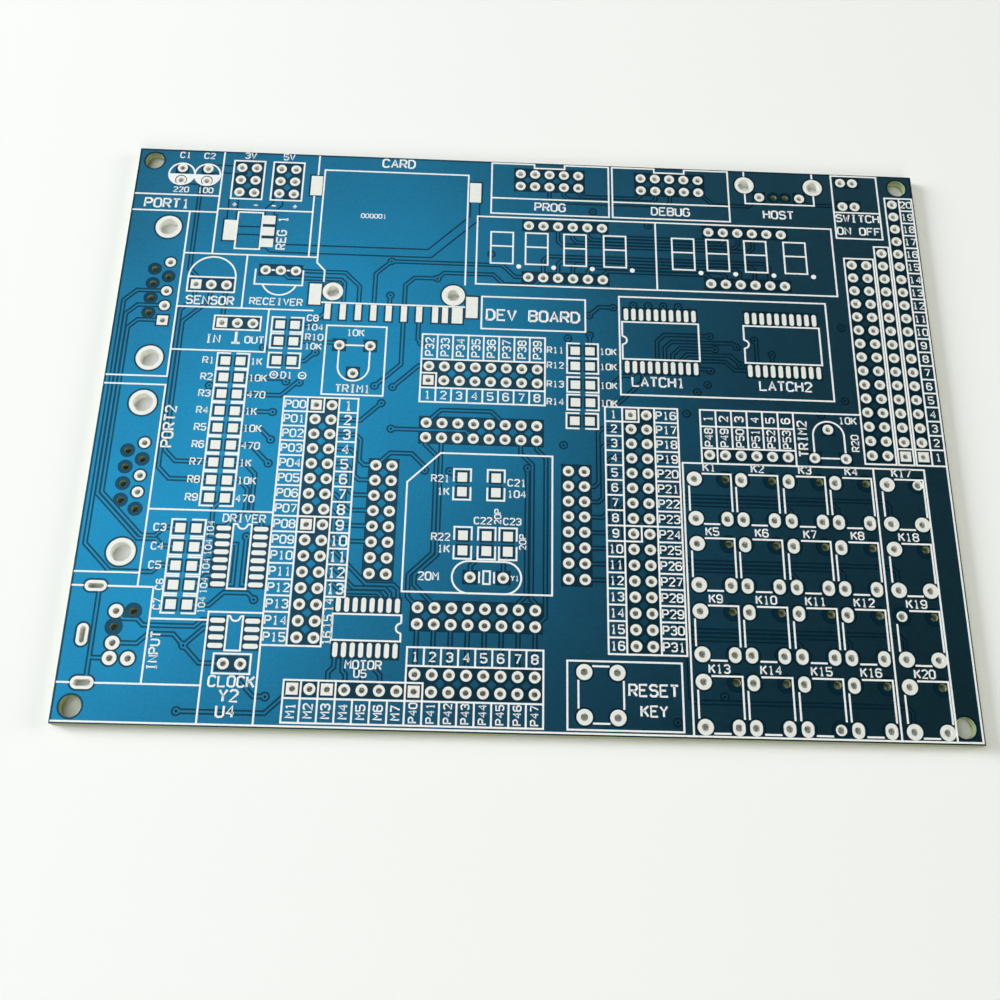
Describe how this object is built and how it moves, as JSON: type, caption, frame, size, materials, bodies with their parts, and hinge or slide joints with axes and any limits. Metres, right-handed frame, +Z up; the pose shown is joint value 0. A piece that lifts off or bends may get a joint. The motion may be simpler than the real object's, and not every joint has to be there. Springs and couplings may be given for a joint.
{
  "type": "development board",
  "caption": "Bare blue circuit board of a microcontroller development board, with plated header, key and socket footprints, chip lands, white legend and corner screw holes.",
  "frame": {"origin": "centre of the panel, on its underside", "axes": "+X along the long sides, to the right; +Y to the back edge; +Z up out of the component side"},
  "size_m": [0.1364, 0.1, 0.0016],
  "materials": {
    "mask_on_core": "glass epoxy under glossy blue solder mask",
    "mask_on_copper": "copper under glossy blue solder mask",
    "tinned_copper": "levelled tin on copper, bright",
    "legend_ink": "white screen-printed ink"
  },
  "bodies": {
    "root": {"laminate": "mask_on_core", "foil_top": "mask_on_copper", "foil_bottom": "mask_on_copper", "vias": "mask_on_copper", "port_eb_pads": "tinned_copper", "port_f_pads": "tinned_copper", "port_d_pads": "tinned_copper", "port_ac_pads": "tinned_copper", "port_g_pads": "tinned_copper", "motor_pads": "tinned_copper", "cpu_back_pads": "tinned_copper", "cpu_left_pads": "tinned_copper", "cpu_right_pads": "tinned_copper", "cpu_front_pads": "tinned_copper", "panel_left_pads": "tinned_copper", "panel_middle_pads": "tinned_copper", "panel_right_pads": "tinned_copper", "program_header_pads": "tinned_copper", "debug_header_pads": "tinned_copper", "display_left_pads": "tinned_copper", "display_right_pads": "tinned_copper", "supply_header_pads": "tinned_copper", "sensor_pads": "tinned_copper", "receiver_pads": "tinned_copper", "jumper_pads": "tinned_copper", "capacitor_pads": "tinned_copper", "trimmer_pads": "tinned_copper", "crystal_pads": "tinned_copper", "serial_upper_pads": "tinned_copper", "serial_lower_pads": "tinned_copper", "round_socket_pads": "tinned_copper", "host_socket_pads": "tinned_copper", "power_switch_pads": "tinned_copper", "reset_button_pads": "tinned_copper", "key_pads_1": "tinned_copper", "key_pads_2": "tinned_copper", "key_pads_3": "tinned_copper", "key_pads_4": "tinned_copper", "key_pads_5": "tinned_copper", "card_socket_pads": "tinned_copper", "regulator_pads": "tinned_copper", "line_driver_pads": "tinned_copper", "clock_chip_pads": "tinned_copper", "motor_driver_pads": "tinned_copper", "latch_left_pads": "tinned_copper", "latch_right_pads": "tinned_copper", "resistor_pads": "tinned_copper", "decoupling_pads": "tinned_copper", "cpu_passive_pads": "tinned_copper", "pull_up_pads": "tinned_copper", "legend": "legend_ink"}
  },
  "joints": []
}
